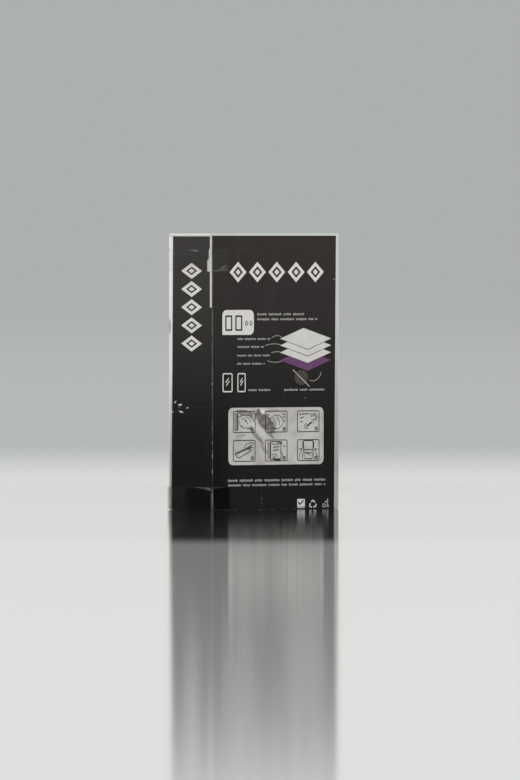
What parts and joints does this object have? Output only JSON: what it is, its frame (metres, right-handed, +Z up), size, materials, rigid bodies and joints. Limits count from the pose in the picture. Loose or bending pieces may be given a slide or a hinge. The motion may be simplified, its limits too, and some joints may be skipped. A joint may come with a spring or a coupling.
{
  "type": "screen protector retail carton",
  "caption": "Closed upright folding carton with tuck-end closures, a torn glue seam and clear tape round one narrow side, which packs a phone screen protector.",
  "frame": {"origin": "middle of the bottom end, on the surface that the carton stands on", "axes": "+Z up the carton, +Y from the wide front panel to the back, +X from the narrow title panel to the other side"},
  "size_m": [0.1041, 0.0422, 0.172],
  "materials": {
    "printed_card": "black print under a satin varnish on white card",
    "white_card": "bare uncoated white board at margins, cut edges and tears",
    "pale_ink": "pale grey printed marks under the varnish",
    "purple_ink": "purple printed mark under the varnish",
    "brown_ink": "brown grey printed mark under the varnish",
    "silver_foil": "silver foil panel with thin dark line drawings",
    "clear_tape": "clear glossy packing tape with dirt at its edges"
  },
  "bodies": {
    "root": {"carton": "printed_card", "tape_upper": "clear_tape", "tape_lower": "clear_tape"}
  },
  "joints": []
}
